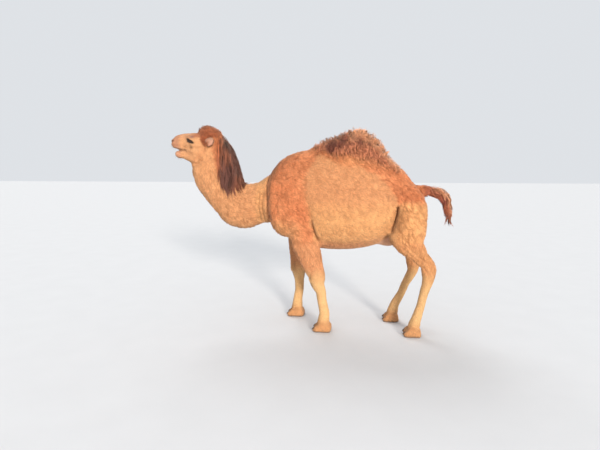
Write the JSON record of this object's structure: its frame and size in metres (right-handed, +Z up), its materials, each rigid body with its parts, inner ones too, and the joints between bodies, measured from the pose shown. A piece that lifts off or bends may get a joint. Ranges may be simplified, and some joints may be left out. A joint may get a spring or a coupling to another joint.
{
  "type": "one-humped hybrid camel",
  "caption": "Life-size still model of a one-humped hybrid camel cow, standing with her neck carried low, head raised, a dark mane on the nape and a woolly hump crest.",
  "frame": {"origin": "on the floor, under the middle of the bounding box", "axes": "+Z up; the camel faces -X and her left side faces -Y"},
  "size_m": [2.9272, 0.7559, 2.0847],
  "materials": {
    "coat": "short woolly hair",
    "dark_wool": "long woolly hair",
    "ear_skin": "thinly haired skin",
    "eye": "wet, dark",
    "toenail": "worn horn"
  },
  "bodies": {
    "root": {"ear_left": "ear_skin", "ear_right": "ear_skin", "eye_left": "eye", "eye_right": "eye", "foreleg_left_foot": "coat", "foreleg_left_forearm": "coat", "foreleg_left_shin": "coat", "foreleg_right_foot": "coat", "foreleg_right_forearm": "coat", "foreleg_right_shin": "coat", "head": "coat", "hindleg_left_foot": "coat", "hindleg_left_gaskin": "coat", "hindleg_left_shin": "coat", "hindleg_left_thigh": "coat", "hindleg_right_foot": "coat", "hindleg_right_gaskin": "coat", "hindleg_right_shin": "coat", "hindleg_right_thigh": "coat", "hump": "dark_wool", "lower_jaw": "coat", "neck_lower": "coat", "neck_upper": "coat", "tail": "dark_wool", "toenail_foreleg_left_inner": "toenail", "toenail_foreleg_left_outer": "toenail", "toenail_foreleg_right_inner": "toenail", "toenail_foreleg_right_outer": "toenail", "toenail_hindleg_left_inner": "toenail", "toenail_hindleg_left_outer": "toenail", "toenail_hindleg_right_inner": "toenail", "toenail_hindleg_right_outer": "toenail", "trunk_barrel": "coat", "trunk_rump": "coat", "trunk_shoulders": "coat", "udder": "ear_skin"}
  },
  "joints": []
}
